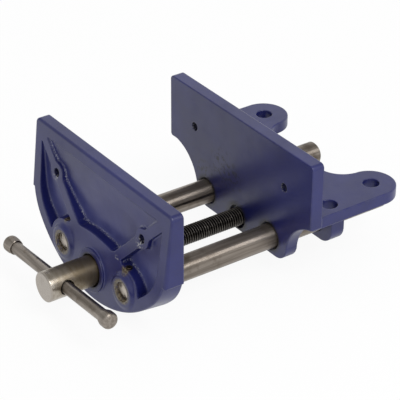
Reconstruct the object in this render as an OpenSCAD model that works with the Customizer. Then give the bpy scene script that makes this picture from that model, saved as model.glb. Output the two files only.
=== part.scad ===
// Plain-screw woodworking vise that bolts under the edge of a bench.
// Lengths are in millimetres and angles in degrees. The origin is midway between the two
// front bench bolts, on the face that seats against the underside of the bench.
// +X runs along the jaws, +Y goes in under the bench and +Z is up.

/* [Jaws] */
// Width of both jaws
jaw_w = 150; // [145:1:158]
// Height of the jaw tops above the bench seat
jaw_rise = 39; // [37:0.5:41]
// Gap between the jaws as drawn
jaw_gap = 93; // [1:1:114]
// Widest gap between the jaws
jaw_gap_max = 114; // [114:1:120]
// Radius of the jaws' top corners
jaw_corner_r = 1.8; // [1:0.1:4]

/* [Front jaw] */
// Thickness at the top edge
front_top_t = 8.5; // [8.3:0.1:8.8]
// Forward lean of the rim, ribs and boss
front_lean = 6.5; // [6:0.5:7.5]
// Thickness of the flat web behind the pockets, which meets the leaning front near the top
web_t = 9.1; // [8.9:0.1:9.6]
// Depth of the straight ends below the top
front_ear_h = 47.5; // [44:0.5:49]
// Inset of the belly from the jaw's ends
belly_inset = 0.2; // [0.2:0.1:2]
// Depth of the belly's widest line below the top
belly_wide_drop = 37.5; // [36:0.5:39]
// Depth of the belly's lowest point below the top
belly_drop = 91.8; // [91:0.1:93]
// Radius of the belly's sides
belly_side_r = 38.8; // [37:0.1:40]
// Draft of the belly, which narrows from the clamping face to the front
belly_draft = 4.5; // [3:0.5:5]
// Width of the rim round the pockets
rim_w = 7.5; // [6:0.5:9]
// Width of the two slanting ribs
rib_w = 6.4; // [5:0.1:8]
// Slope of the ribs
rib_angle = 46; // [42:1:50]
// Radius of the pad round each cheek screw hole
cheek_pad_r = 6.5; // [5.5:0.5:8]
// Wall of the boss round each guide rod
rod_boss_wall = 6.8; // [6:0.1:8]
// Depth of the boss's arched top below the top
arch_drop = 47.5; // [45:0.5:49]
// Radius of that arch
arch_r = 97; // [90:1:110]
// Width of the flat pad round each rod end
rod_pad_w = 2.5; // [2:0.1:4]
// Height of the rod pads above the leaning front
rod_pad_proud = 1.4; // [1.3:0.1:2]
// Width of the raised lip round the screw's head
lip_w = 3.6; // [3:0.1:5]
// Height of the lip above the leaning front
lip_proud = 3.4; // [3:0.1:4]
// Depth of the head's seat inside the lip
seat_d = 2; // [1:0.1:2.5]
// Gap between the head and the lip
head_gap = 0.6; // [0.4:0.1:1]
// Gap round the washer in its recess in the clamping face
recess_gap = 0.8; // [0.5:0.1:1]
// Distance of the journal's end behind the clamping face
journal_sunk = 1.6; // [1:0.1:2.5]

/* [Rear jaw] */
// Thickness of the fixed jaw
rear_t = 9; // [8:0.5:10]
// Depth of the straight ends below the top
rear_ear_h = 44.5; // [43:0.5:45.5]
// Radius of the hollow below each end
hollow_r = 29; // [26:0.5:30]
// Wall beside each rod in the lower part, before its shift
rod_side_wall = 6.3; // [5:0.1:8]
// Shift of the lower part to the right of the rods
lower_shift = 3.5; // [0:0.5:4]
// Wall under each rod in the lower part
rod_under_wall = 4; // [3:0.1:5]
// Radius of its bottom corners
lower_corner_r = 11; // [8:0.5:12]
// Radial gap of the screw in the fixed jaw
screw_gap = 1.75; // [1:0.05:2]

/* [Bench seat] */
// Thickness of the seat and its lugs
seat_t = 8; // [7:0.5:10]
// Distance of the seat's back edge from the clamping face
seat_back = 48.5; // [46:0.5:50]
// Thickness of the rear wall under the seat
wall_t = 10.5; // [8:0.5:12]
// Distance of the rear wall's back from the seat's back edge
wall_in = 2; // [1:0.5:4]
// Radius of each lug's round end
lug_r = 16; // [14:0.5:17]
// Radius of the corners of the gap between the lugs
notch_r = 17; // [14:0.5:20]
// Distance between the front bench bolts
front_bolt_span = 123; // [112:1:126]
// Distance between the rear bench bolts
rear_bolt_span = 112; // [109:1:115]
// Distance of the front bench bolts from the clamping face
front_bolt_back = 25; // [18:0.5:28]
// Distance of the rear bench bolts from the clamping face
rear_bolt_back = 63; // [61:0.5:68]
// Diameter of the bench bolt holes
bolt_hole_d = 10.5; // [8:0.1:12]

/* [Cheek screws] */
// Distance between the two cheek screw holes in each jaw
cheek_span = 95; // [90:1:100]
// Depth of those holes below the jaw tops
cheek_drop = 26.5; // [22:0.5:30]
// Diameter of those holes
cheek_hole_d = 5.5; // [4:0.1:6.5]

/* [Guide rods] */
// Diameter of the rods
rod_d = 16; // [14:0.1:16.2]
// Distance between the rods
rod_span = 68; // [66:0.5:70]
// Depth of the rods below the jaw tops
rod_drop = 67.2; // [66:0.1:68]
// Length of the rods
rod_len = 199; // [190:1:240]
// Distance of the rods' front ends behind their pads
rod_sunk = 2; // [0.5:0.1:2.5]
// Radial play of the rods in the rear jaw
rod_play = 0.1; // [0.05:0.01:0.1]
// Chamfer at the rods' ends and at the mouths of the rear jaw's bores
rod_chamfer = 1.4; // [0.5:0.1:1.8]
// Diameter of the hole in the front jaw that shows each rod's end
rod_hole_d = 12.4; // [11:0.1:14]
// Chamfer round that hole
rod_hole_rim = 0.7; // [0.3:0.1:1]
// Diameter of the pins that lock the rods
rod_pin_d = 4; // [3:0.1:5]
// Distance of those pins from the clamping face
rod_pin_out = 11.6; // [11.3:0.1:11.8]

/* [Main screw] */
// Depth of the screw below the jaw tops
screw_drop = 70; // [69.5:0.1:70.5]
// Outer diameter of the thread
thread_d = 12; // [11:0.1:12.4]
// Thread pitch
thread_pitch = 1.75; // [1.5:0.05:2]
// Diameter of the journal in the front jaw
journal_d = 14; // [13.4:0.1:14.4]
// Radial play of the journal in its bore
journal_play = 0.06; // [0.03:0.01:0.1]
// Radial play of the thread in the nut
thread_play = 0.15; // [0.12:0.01:0.3]
// Diameter of the head
head_d = 19.5; // [18.5:0.1:20.5]
// Length of the head
head_len = 33.5; // [31:0.5:38]
// Chamfer on the head's end
head_chamfer = 1; // [0.5:0.1:2]
// Radial gap of the tommy bar in its cross hole
bar_gap = 1; // [0.5:0.1:1.4]
// Distance of the cross hole from the head's end
bar_hole_in = 11.5; // [10:0.5:14]
// Axial play of the head, washer and circlip
end_play = 0.2; // [0.1:0.05:0.3]
// Length of thread left in the nut at the widest gap
thread_hold = 12; // [9:0.5:14]

/* [Washer and circlip] */
// Width of the thrust washer's ring
washer_w = 4.7; // [3:0.1:5]
// Thickness of the thrust washer
washer_t = 2; // [1.5:0.1:2.2]
// Height of the circlip above the journal
circlip_w = 2.5; // [1.7:0.1:3]
// Thickness of the circlip
circlip_t = 1.2; // [1:0.1:1.4]
// Depth of the circlip's groove in the journal
groove_d = 0.7; // [0.5:0.1:0.8]
// Width of the gap in the circlip
circlip_gap = 5; // [4:0.5:7]

/* [Main nut] */
// Wall of the nut's body
nut_wall = 4; // [3:0.1:5]
// Width of the nut's flange
nut_flange_w = 4; // [3:0.5:5]
// Thickness of the nut's flange
nut_flange_t = 5; // [3:0.5:6]
// Wall of the boss round the nut
nut_boss_wall = 6; // [5:0.5:8]
// Diameter of the lock screw
lock_d = 5; // [4:0.1:6]
// Depth that the lock screw enters the nut
lock_depth = 2; // [1:0.1:2.5]

/* [Tommy bar] */
// Diameter of the bar
bar_d = 8; // [7:0.1:8.4]
// Length over both ends
bar_len = 119; // [100:1:140]
// Height of the two ends above the bar
knob_rise = 1.4; // [1.2:0.1:2.4]
// Length of the two ends
knob_len = 9; // [8:0.5:12]
// Length of the cone on each end
knob_cone = 3; // [2:0.1:4]
// Rounding of the ends' outer edges
knob_round = 1.4; // [0.8:0.1:2]
// Wall of the loose knob at its mouth
knob_lip = 0.6; // [0.4:0.1:1]
// Tilt of the bar from level as drawn
bar_tilt = 3; // [-10:1:10]
// Slide of the bar towards its loose knob as drawn
bar_slide = 1.5; // [0:0.1:30]

/* [Hidden] */
$fn = 64;
// Length that a cut runs past a face
past = 1;
// Length of the journal beyond the circlip
journal_end = 1;
// Size of a block that only bounds another shape
far = 200;

rear_face_y = -front_bolt_back;
front_face_y = rear_face_y - jaw_gap;
jaw_half = jaw_w / 2;
rod_x = rod_span / 2;
rod_r = rod_d / 2;
cheek_x = cheek_span / 2;

// Distance of the leaning front from the clamping face at a depth below the top
function front_out(drop) = front_top_t + drop * tan(front_lean);

// Front jaw, measured from its clamping face and top edge
belly_half_w = jaw_half - belly_inset;
belly_h = belly_drop - belly_wide_drop;
belly_side_x = belly_half_w - belly_side_r;
// Depth taken off the belly's lowest arc, so that it crosses both sides
belly_trim = 0.2;
// Radius of the belly's lowest arc, which runs into both sides
belly_r = (pow(belly_half_w, 2) + pow(belly_h, 2) - 2 * belly_half_w * belly_side_r)
    / (2 * (belly_h - belly_side_r));
belly_z = belly_r - belly_drop;
// Depth that the draft has taken off at the front
belly_lead = front_out(belly_drop) * tan(belly_draft);
rod_boss_r = rod_r + rod_boss_wall;
rod_pad_r = rod_r + rod_pad_w;
rod_pad_out = front_out(rod_drop) + rod_pad_proud;
rod_end_y = rod_sunk - rod_pad_out;
rod_hole_r = rod_hole_d / 2;
boss_top_z = rod_boss_r - rod_drop;
head_r = head_d / 2;
lip_hole_r = head_r + head_gap;
lip_r = lip_hole_r + lip_w;
lip_out = front_out(screw_drop) + lip_proud;
seat_out = lip_out - seat_d;
journal_r = journal_d / 2;
journal_bore_r = journal_r + journal_play;
washer_r = journal_r + washer_w;
recess_r = washer_r + recess_gap;
recess_d = journal_sunk + journal_end + circlip_t + washer_t + end_play;

// Rear jaw, measured the same way
lower_half_w = rod_x + rod_r + rod_side_wall;
lower_drop = rod_drop + rod_r + rod_under_wall;
// Depth at which the hollows run into the bottom corners
corner_drop = lower_drop - lower_corner_r;
// Depth of the hollows' centres, which lets each hollow cross the lower edge of its end
hollow_z = hollow_r + rear_ear_h - past / 2;
hollow_x = lower_half_w + sqrt(pow(hollow_r, 2) - pow(hollow_z - corner_drop, 2));
hollow_left = max(lower_shift - hollow_x, -jaw_half);
hollow_right = min(lower_shift + hollow_x, jaw_half);
seat_half_w = rear_bolt_span / 2 + lug_r;
notch_y = seat_back + notch_r;
notch_half_w = rear_bolt_span / 2 - lug_r;
wall_back = seat_back - wall_in;
wall_y = wall_back - wall_t;
thread_r = thread_d / 2;
nut_r = thread_r + nut_wall;
nut_flange_r = nut_r + nut_flange_w;
nut_boss_r = nut_r + nut_boss_wall;
lock_y = wall_y + wall_t / 2;

// Main screw, measured along its axis from the front jaw's clamping face
head_y = -seat_out - end_play;
head_end_y = head_y - head_len;
bar_y = head_end_y + bar_hole_in;
washer_y = -recess_d + end_play / 2;
circlip_y = washer_y + washer_t + end_play / 2;
journal_end_y = -journal_sunk;
thread_depth = 0.61 * thread_pitch;
root_r = thread_r - thread_depth;
nut_back_y = wall_back + nut_flange_t;
tail_y = jaw_gap_max + wall_y + thread_hold;
turns = floor((tail_y - journal_end_y) / thread_pitch) - 2;
thread_y = tail_y - (turns + 1) * thread_pitch;

// Tommy bar, measured from the screw's axis
bar_half = bar_len / 2;
bar_r = bar_d / 2;
bar_hole_r = bar_r + bar_gap;
knob_r = bar_r + knob_rise;
knob_in = bar_half - knob_len;
knob_bore = knob_len - 3 * knob_round;

enamel = [0.30, 0.31, 0.42];
steel = [0.60, 0.56, 0.50];
dark_steel = [0.25, 0.23, 0.21];
bronze = [0.62, 0.48, 0.28];

// Places a shape measured from a jaw's clamping face and top edge
module at_jaw(face_y) {
    translate([0, face_y, jaw_rise]) children();
}

// Places a shape measured along the screw from the front jaw's clamping face
module at_screw() {
    translate([0, front_face_y, jaw_rise - screw_drop]) children();
}

// Box between two corners
module box(low, high) {
    translate(low) cube(high - low);
}

// Cylinder along Y between two places
module shaft(r, y0, y1, x = 0, z = 0) {
    translate([x, y0, z]) rotate([-90, 0, 0]) cylinder(r = r, h = y1 - y0);
}

// Cone along Y from one radius to another
module taper(r0, r1, y0, y1, x = 0, z = 0) {
    translate([x, y0, z]) rotate([-90, 0, 0]) cylinder(r1 = r0, r2 = r1, h = y1 - y0);
}

// Both of a pair that stands either side of the middle
module pair() {
    children();
    mirror([1, 0, 0]) children();
}

// Upright plate with round top corners, its top at z = 0
module jaw_plate(y0, y1, h) {
    inner = jaw_half - jaw_corner_r;
    box([-inner, y0, -h], [inner, y1, 0]);
    box([-jaw_half, y0, -h], [jaw_half, y1, -jaw_corner_r]);
    pair() shaft(jaw_corner_r, y0, y1, inner, -jaw_corner_r);
}

// Block with round bottom corners that carries the rods
module rod_block(y0, y1, top_z) {
    inner = lower_half_w - lower_corner_r;
    translate([lower_shift, 0, 0]) {
        box([-lower_half_w, y0, -corner_drop], [lower_half_w, y1, top_z]);
        box([-inner, y0, -lower_drop], [inner, y1, top_z]);
        pair() shaft(lower_corner_r, y0, y1, inner, -corner_drop);
    }
}

// Fixed jaw with its hollowed shoulders
module rear_plate() {
    jaw_plate(0, rear_t, rear_ear_h);
    rod_block(0, rear_t, -rear_ear_h);
    difference() {
        box([hollow_left, 0, -corner_drop], [hollow_right, rear_t, past - rear_ear_h]);
        translate([lower_shift, 0, -hollow_z]) pair() shaft(hollow_r, -past, rear_t + past, hollow_x);
    }
}

// Seat under the bench, with a lug behind each side
module bench_seat() {
    low_z = -jaw_rise - seat_t;
    difference() {
        union() {
            box([-seat_half_w, rear_t / 2, low_z], [seat_half_w, rear_bolt_back, -jaw_rise]);
            pair() translate([rear_bolt_span / 2, rear_bolt_back, low_z]) cylinder(r = lug_r, h = seat_t);
        }
        translate([0, 0, low_z - past]) seat_notch(seat_t + 2 * past);
    }
}

// Round-cornered gap between the lugs
module seat_notch(h) {
    inner = notch_half_w - notch_r;
    translate([-inner, seat_back, 0]) cube([2 * inner, far, h]);
    translate([-notch_half_w, notch_y, 0]) cube([2 * notch_half_w, far, h]);
    pair() translate([inner, notch_y, 0]) cylinder(r = notch_r, h = h);
}

// Wall under the seat, with the boss for the nut
module rear_wall() {
    rod_block(wall_y, wall_back, -jaw_rise - seat_t / 2);
    shaft(nut_boss_r, wall_y, wall_back, 0, -screw_drop);
}

module rear_jaw() {
    low_z = -screw_drop - nut_boss_r - past;
    color(enamel) at_jaw(rear_face_y) difference() {
        union() {
            rear_plate();
            bench_seat();
            rear_wall();
        }
        pair() rod_bore();
        shaft(thread_r + screw_gap, -past, rear_t + past, 0, -screw_drop);
        shaft(nut_r, wall_y - past, wall_back + past, 0, -screw_drop);
        pair() shaft(cheek_hole_d / 2, -past, rear_t + past, cheek_x, -cheek_drop);
        pair() bolt_hole(front_bolt_span / 2, front_bolt_back);
        pair() bolt_hole(rear_bolt_span / 2, rear_bolt_back);
        translate([0, lock_y, low_z]) cylinder(d = lock_d, h = nut_boss_wall + 3 * past);
    }
}

// Running bore for the right rod, opened out at the mouth
module rod_bore() {
    r = rod_r + rod_play;
    shaft(r, -past, seat_back + past, rod_x, -rod_drop);
    taper(r + rod_chamfer, r, 0, rod_chamfer, rod_x, -rod_drop);
}

// Hole for one bench bolt
module bolt_hole(x, y) {
    translate([x, y, -jaw_rise - seat_t - past]) cylinder(d = bolt_hole_d, h = seat_t + 2 * past);
}

// Flanged nut whose flange bears on the back of the rear wall
module main_nut() {
    color(bronze) at_jaw(rear_face_y) difference() {
        union() {
            shaft(nut_r, wall_y, nut_back_y, 0, -screw_drop);
            shaft(nut_flange_r, wall_back, nut_back_y, 0, -screw_drop);
        }
        shaft(thread_r + thread_play, wall_y - past, nut_back_y + past, 0, -screw_drop);
        translate([0, lock_y, -screw_drop - nut_r - past]) cylinder(d = lock_d, h = lock_depth + past);
    }
}

// Slotted grub screw that enters the nut from below
module nut_lock_screw() {
    len = nut_boss_wall + lock_depth - past;
    slot_w = lock_d / 5;
    color(dark_steel) at_jaw(rear_face_y)
        translate([0, lock_y, -screw_drop - nut_r + lock_depth - len]) difference() {
            cylinder(d = lock_d, h = len);
            translate([-lock_d, -slot_w / 2, -past]) cube([2 * lock_d, slot_w, 2 * past]);
        }
}

// Rounded lower part of the front jaw, drawn in from its outline by an inset
module belly(inset, y1, draft = 0) {
    low_r = belly_r - belly_trim - inset;
    side_r = belly_side_r - inset;
    lead = (far + y1) * tan(draft);
    join_x = low_r * belly_side_x / (belly_r - belly_side_r);
    intersection() {
        taper(low_r - lead, low_r, -far, y1, 0, belly_z);
        union() {
            pair() taper(side_r - lead, side_r, -far, y1, belly_side_x, -belly_wide_drop);
            box([-join_x, -far, -belly_drop - past], [join_x, y1, -belly_wide_drop]);
        }
    }
}

// Front jaw's outline, from the clamping face forward
module front_block() {
    jaw_plate(-far, 0, front_ear_h);
    belly(0, 0, belly_draft);
}

// Space behind the leaning front face
module front_wedge() {
    low = belly_drop + past;
    rotate([90, 0, 90]) linear_extrude(height = far, center = true)
        polygon([[0, past], [-front_top_t, past], [-front_top_t, 0],
            [-front_out(low), -low], [0, -low]]);
}

// Space inside the rim
module pocket_space() {
    top_half = jaw_half - rim_w;
    low_half = belly_half_w - belly_lead - rim_w;
    belly(rim_w + belly_lead, -web_t);
    translate([0, -web_t, 0]) rotate([90, 0, 0]) linear_extrude(height = far)
        polygon([[-top_half, 0], [-low_half, -belly_wide_drop], [low_half, -belly_wide_drop],
            [top_half, 0]]);
}

// Boss that carries the rods and the screw
module front_boss() {
    pair() shaft(rod_boss_r, -far, 0, rod_x, -rod_drop);
    intersection() {
        shaft(arch_r, -far, 0, 0, -arch_drop - arch_r);
        box([-rod_x, -far, -belly_drop], [rod_x, 0, 0]);
    }
}

// Right rib, with the pad for its cheek screw
module front_rib() {
    shaft(cheek_pad_r, -far, 0, cheek_x, -cheek_drop);
    translate([cheek_x, 0, -cheek_drop]) rotate([0, -rib_angle, 0])
        box([-jaw_half / 2, -far, -rib_w / 2], [jaw_half / 2, 0, rib_w / 2]);
}

// Bore for one rod, the hole in front of it and the pin's hole
module front_rod_bore() {
    shaft(rod_r, rod_end_y, past, rod_x, -rod_drop);
    shaft(rod_hole_r, -far, rod_end_y + past, rod_x, -rod_drop);
    taper(rod_hole_r + rod_hole_rim, rod_hole_r, -rod_pad_out, rod_hole_rim - rod_pad_out, rod_x, -rod_drop);
    rod_pin_shape(past);
}

module front_jaw() {
    color(enamel) at_jaw(front_face_y) difference() {
        union() {
            difference() {
                intersection() {
                    front_block();
                    front_wedge();
                }
                difference() {
                    pocket_space();
                    front_boss();
                    pair() front_rib();
                }
            }
            pair() shaft(rod_pad_r, -rod_pad_out, -web_t, rod_x, -rod_drop);
            shaft(lip_r, -lip_out, -web_t, 0, -screw_drop);
        }
        pair() front_rod_bore();
        shaft(lip_hole_r, -far, -seat_out, 0, -screw_drop);
        shaft(journal_bore_r, -far, past, 0, -screw_drop);
        shaft(recess_r, -recess_d, past, 0, -screw_drop);
        pair() shaft(cheek_hole_d / 2, -far, past, cheek_x, -cheek_drop);
    }
}

// Upright pin from the top of the right boss down through the rod
module rod_pin_shape(over = 0) {
    low_z = -rod_drop - rod_r / 2;
    translate([rod_x, -rod_pin_out, low_z]) cylinder(d = rod_pin_d, h = boss_top_z - low_z + over);
}

// Right rod, drilled for its pin
module guide_rod() {
    end_r = rod_r - rod_chamfer;
    at_jaw(front_face_y) difference() {
        translate([rod_x, rod_end_y, -rod_drop]) rotate([-90, 0, 0]) rotate_extrude()
            polygon([[0, 0], [end_r, 0], [rod_r, rod_chamfer], [rod_r, rod_len - rod_chamfer],
                [end_r, rod_len], [0, rod_len]]);
        rod_pin_shape(past);
    }
}

module right_guide_rod() {
    color(steel) guide_rod();
}

module left_guide_rod() {
    color(steel) mirror([1, 0, 0]) guide_rod();
}

module right_rod_pin() {
    color(dark_steel) at_jaw(front_face_y) rod_pin_shape();
}

module left_rod_pin() {
    color(dark_steel) mirror([1, 0, 0]) at_jaw(front_face_y) rod_pin_shape();
}

// Half profile of the thread: a straight run, then one crest and root for each turn
function thread_profile() = concat(
    [[0, journal_end_y - past], [root_r, journal_end_y - past], [root_r, thread_y]],
    [for (i = [0 : turns - 1]) each [
        [thread_r, thread_y + (i + 0.44) * thread_pitch],
        [thread_r, thread_y + (i + 0.56) * thread_pitch],
        [root_r, thread_y + (i + 1) * thread_pitch]]],
    [[root_r, tail_y], [0, tail_y]]);

module main_screw() {
    color(dark_steel) at_screw() difference() {
        union() {
            taper(head_r - head_chamfer, head_r, head_end_y, head_end_y + head_chamfer);
            shaft(head_r, head_end_y + head_chamfer, head_y);
            shaft(journal_r, head_y, circlip_y);
            shaft(journal_r - groove_d, circlip_y, circlip_y + circlip_t);
            shaft(journal_r, circlip_y + circlip_t, journal_end_y);
            rotate([-90, 0, 0]) rotate_extrude() polygon(thread_profile());
        }
        translate([0, bar_y, 0]) rotate([0, 90 - bar_tilt, 0])
            cylinder(r = bar_hole_r, h = 2 * head_d, center = true);
    }
}

module thrust_washer() {
    color(steel) at_screw() difference() {
        shaft(washer_r, washer_y, washer_y + washer_t);
        shaft(journal_bore_r, washer_y - past, washer_y + washer_t + past);
    }
}

// Open ring that snaps into the journal's groove
module screw_circlip() {
    outer_r = journal_r + circlip_w;
    cut_y = circlip_y - past;
    color(dark_steel) at_screw() difference() {
        shaft(outer_r, circlip_y, circlip_y + circlip_t);
        shaft(journal_r - groove_d, cut_y, circlip_y + circlip_t + past);
        translate([-circlip_gap / 2, cut_y, 0]) cube([circlip_gap, circlip_t + 2 * past, outer_r]);
    }
}

// Places a shape measured along the tommy bar from the screw's axis
module at_bar() {
    at_screw() translate([0, bar_y, 0]) rotate([0, -bar_tilt, 0]) translate([-bar_slide, 0, 0]) children();
}

// Solid end of the bar, from its cone to its rounded rim
module bar_end(small_r) {
    rim_x = bar_half - knob_round;
    drum_x = knob_in + knob_cone;
    rotate([0, 90, 0]) {
        translate([0, 0, knob_in]) cylinder(r1 = small_r, r2 = knob_r, h = knob_cone);
        translate([0, 0, drum_x]) cylinder(r = knob_r, h = rim_x - drum_x);
        translate([0, 0, rim_x]) cylinder(r = knob_r - knob_round, h = knob_round);
        translate([0, 0, rim_x]) rotate_extrude() translate([knob_r - knob_round, 0]) intersection() {
            circle(r = knob_round);
            square(knob_round);
        }
    }
}

module tommy_bar() {
    start = -knob_in - knob_bore;
    color(steel) at_bar() {
        translate([start, 0, 0]) rotate([0, 90, 0]) cylinder(r = bar_r, h = knob_in - start + past);
        bar_end(bar_r);
    }
}

// Knob pressed on the bar's other end
module bar_end_knob() {
    color(steel) at_bar() mirror([1, 0, 0]) difference() {
        bar_end(bar_r + knob_lip);
        translate([knob_in - past, 0, 0]) rotate([0, 90, 0]) cylinder(r = bar_r, h = knob_bore + past);
    }
}

rear_jaw();
main_nut();
nut_lock_screw();
front_jaw();
left_guide_rod();
right_guide_rod();
left_rod_pin();
right_rod_pin();
main_screw();
thrust_washer();
screw_circlip();
tommy_bar();
bar_end_knob();
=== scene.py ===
import math

import bmesh
import bpy
import numpy as np
from mathutils import Matrix, Vector


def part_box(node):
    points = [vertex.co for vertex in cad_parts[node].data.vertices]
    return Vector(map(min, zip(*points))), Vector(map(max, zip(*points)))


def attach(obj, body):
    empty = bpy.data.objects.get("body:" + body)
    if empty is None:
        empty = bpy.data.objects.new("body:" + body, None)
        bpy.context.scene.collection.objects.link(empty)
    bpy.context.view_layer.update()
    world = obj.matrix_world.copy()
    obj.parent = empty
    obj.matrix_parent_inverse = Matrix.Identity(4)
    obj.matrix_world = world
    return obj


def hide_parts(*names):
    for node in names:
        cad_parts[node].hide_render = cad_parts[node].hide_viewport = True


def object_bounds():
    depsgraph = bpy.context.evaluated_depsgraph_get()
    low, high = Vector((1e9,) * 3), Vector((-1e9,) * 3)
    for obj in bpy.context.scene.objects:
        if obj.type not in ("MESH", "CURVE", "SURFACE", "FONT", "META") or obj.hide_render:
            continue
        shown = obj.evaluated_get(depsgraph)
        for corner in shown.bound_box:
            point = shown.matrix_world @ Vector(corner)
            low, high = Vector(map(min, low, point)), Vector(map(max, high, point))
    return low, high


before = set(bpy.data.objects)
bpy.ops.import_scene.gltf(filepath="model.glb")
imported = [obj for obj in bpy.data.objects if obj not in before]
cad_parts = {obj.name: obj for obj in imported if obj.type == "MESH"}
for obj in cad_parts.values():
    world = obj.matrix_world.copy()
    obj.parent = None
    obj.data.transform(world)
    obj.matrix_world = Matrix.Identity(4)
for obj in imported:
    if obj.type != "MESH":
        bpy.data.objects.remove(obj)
cadLow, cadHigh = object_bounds()
mm = 0.001
print("frame loaded with", len(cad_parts), "nodes")


# places in millimetres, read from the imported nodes
def nodeBox(node):
    low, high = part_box(node)
    return np.array(low) / mm, np.array(high) / mm


frontLow, frontHigh = nodeBox("front_jaw")
rearLow, rearHigh = nodeBox("rear_jaw")
rodLow, rodHigh = nodeBox("right_guide_rod")
nutLow, nutHigh = nodeBox("main_nut")
screwLow, screwHigh = nodeBox("main_screw")
pinLow, pinHigh = nodeBox("right_rod_pin")

jawHalf = frontHigh[0]
jawTop = frontHigh[2]
frontFace = frontHigh[1]
rearFace = rearLow[1]
rodRadius = (rodHigh[0] - rodLow[0]) / 2
rodX = (rodHigh[0] + rodLow[0]) / 2
rodZ = (rodHigh[2] + rodLow[2]) / 2
screwZ = (nutHigh[2] + nutLow[2]) / 2
nutFlange = (nutHigh[2] - nutLow[2]) / 2
flangeStep = 4.0  # from the nut's body to its flange
nutRadius = nutFlange - flangeStep
seatTop = 0.0

cheekHoles = {"x": 47.5, "drop": 26.5, "radius": 2.75}


# distance fields: negative inside, in millimetres
def meet(a, b, r):  # the overlap of two shapes, its edge rounded by r
    return np.minimum(-r, np.maximum(a, b)) + np.hypot(np.maximum(a + r, 0), np.maximum(b + r, 0))


def join(a, b, r):  # both shapes, with a fillet of radius r between them
    return np.maximum(r, np.minimum(a, b)) - np.hypot(np.maximum(r - a, 0), np.maximum(r - b, 0))


def cut(a, b, r):
    return meet(a, -b, r)


def disc(u, v, atU, atV, r):
    return np.hypot(u - atU, v - atV) - r


def slab(v, low, high):
    return np.maximum(low - v, v - high)


def rect(u, v, lowU, highU, lowV, highV, r=0.0):
    du = np.abs(u - (lowU + highU) / 2) - (highU - lowU) / 2 + r
    dv = np.abs(v - (lowV + highV) / 2) - (highV - lowV) / 2 + r
    return np.hypot(np.maximum(du, 0), np.maximum(dv, 0)) + np.minimum(np.maximum(du, dv), 0) - r


# a jaw's plate, with one corner radius in its upper half and one in its lower half
def jawPlate(u, w, depth, topCorner, lowCorner):
    upper = rect(u, w, -jawHalf, jawHalf, -depth, 0, topCorner)
    lower = rect(u, w, -jawHalf, jawHalf, -depth, 0, lowCorner)
    return np.where(w > -depth / 2, upper, lower)


# skin of a distance field, as quads with one point in each cell that the surface crosses
def skinField(field, low, high, step):
    axes = [np.arange(a, b + step, step) for a, b in zip(low, high)]
    values = field(*np.meshgrid(*axes, indexing="ij"))
    size = np.array(values.shape) - 1
    corners = [(i, j, k) for i in (0, 1) for j in (0, 1) for k in (0, 1)]
    at = {c: values[c[0]:c[0] + size[0], c[1]:c[1] + size[1], c[2]:c[2] + size[2]] for c in corners}
    inside = sum((at[c] < 0).astype(np.int8) for c in corners)
    crossed = (inside > 0) & (inside < 8)
    cells = np.argwhere(crossed)
    total = np.zeros((len(cells), 3))
    count = np.zeros((len(cells), 1))
    for a in corners:
        for b in corners:
            if sum(b) - sum(a) != 1 or sum(abs(p - q) for p, q in zip(a, b)) != 1:
                continue
            va, vb = at[a][crossed], at[b][crossed]
            hit = (va < 0) != (vb < 0)
            share = np.where(hit, va / np.where(hit, va - vb, 1), 0)[:, None]
            total += np.where(hit[:, None], np.array(a) + share * (np.array(b) - np.array(a)), 0)
            count += hit[:, None]
    points = np.array(low) + (cells + total / count) * step
    number = np.full(size, -1)
    number[crossed] = np.arange(len(cells))
    quads = []
    for axis in range(3):
        p, q = (axis + 1) % 3, (axis + 2) % 3
        first = np.moveaxis(values, (axis, p, q), (0, 1, 2))[:-1, 1:-1, 1:-1] < 0
        last = np.moveaxis(values, (axis, p, q), (0, 1, 2))[1:, 1:-1, 1:-1] < 0
        ids = np.moveaxis(number, (axis, p, q), (0, 1, 2))
        ring = np.stack([ids[:, :-1, :-1], ids[:, 1:, :-1], ids[:, 1:, 1:], ids[:, :-1, 1:]], axis=-1)
        quads.append(ring[first & ~last])
        quads.append(ring[last & ~first][:, ::-1])
    quads = np.concatenate(quads)
    leastSlope = 0.25
    for _ in range(3):  # settle the points on the surface
        value, slope = probe(field, points)
        move = value[:, None] * slope / np.maximum((slope ** 2).sum(1, keepdims=True), leastSlope)
        points -= np.clip(move, -step / 2, step / 2)
    return points, quads


def probe(field, points, reach=0.05):
    x, y, z = points.T
    slope = np.stack([
        field(x + reach, y, z) - field(x - reach, y, z),
        field(x, y + reach, z) - field(x, y - reach, z),
        field(x, y, z + reach) - field(x, y, z - reach)], axis=1) / (2 * reach)
    return field(x, y, z), slope


# how sharply the surface bends out at each point, in 1/mm
def bend(field, points, reach=0.8):
    x, y, z = points.T
    around = (field(x + reach, y, z) + field(x - reach, y, z) + field(x, y + reach, z)
              + field(x, y - reach, z) + field(x, y, z + reach) + field(x, y, z - reach))
    return (around - 6 * field(x, y, z)) / reach ** 2


def readVectors(items, name):
    values = np.zeros(len(items) * 3)
    items.foreach_get(name, values)
    return values.reshape(-1, 3) / mm


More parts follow.
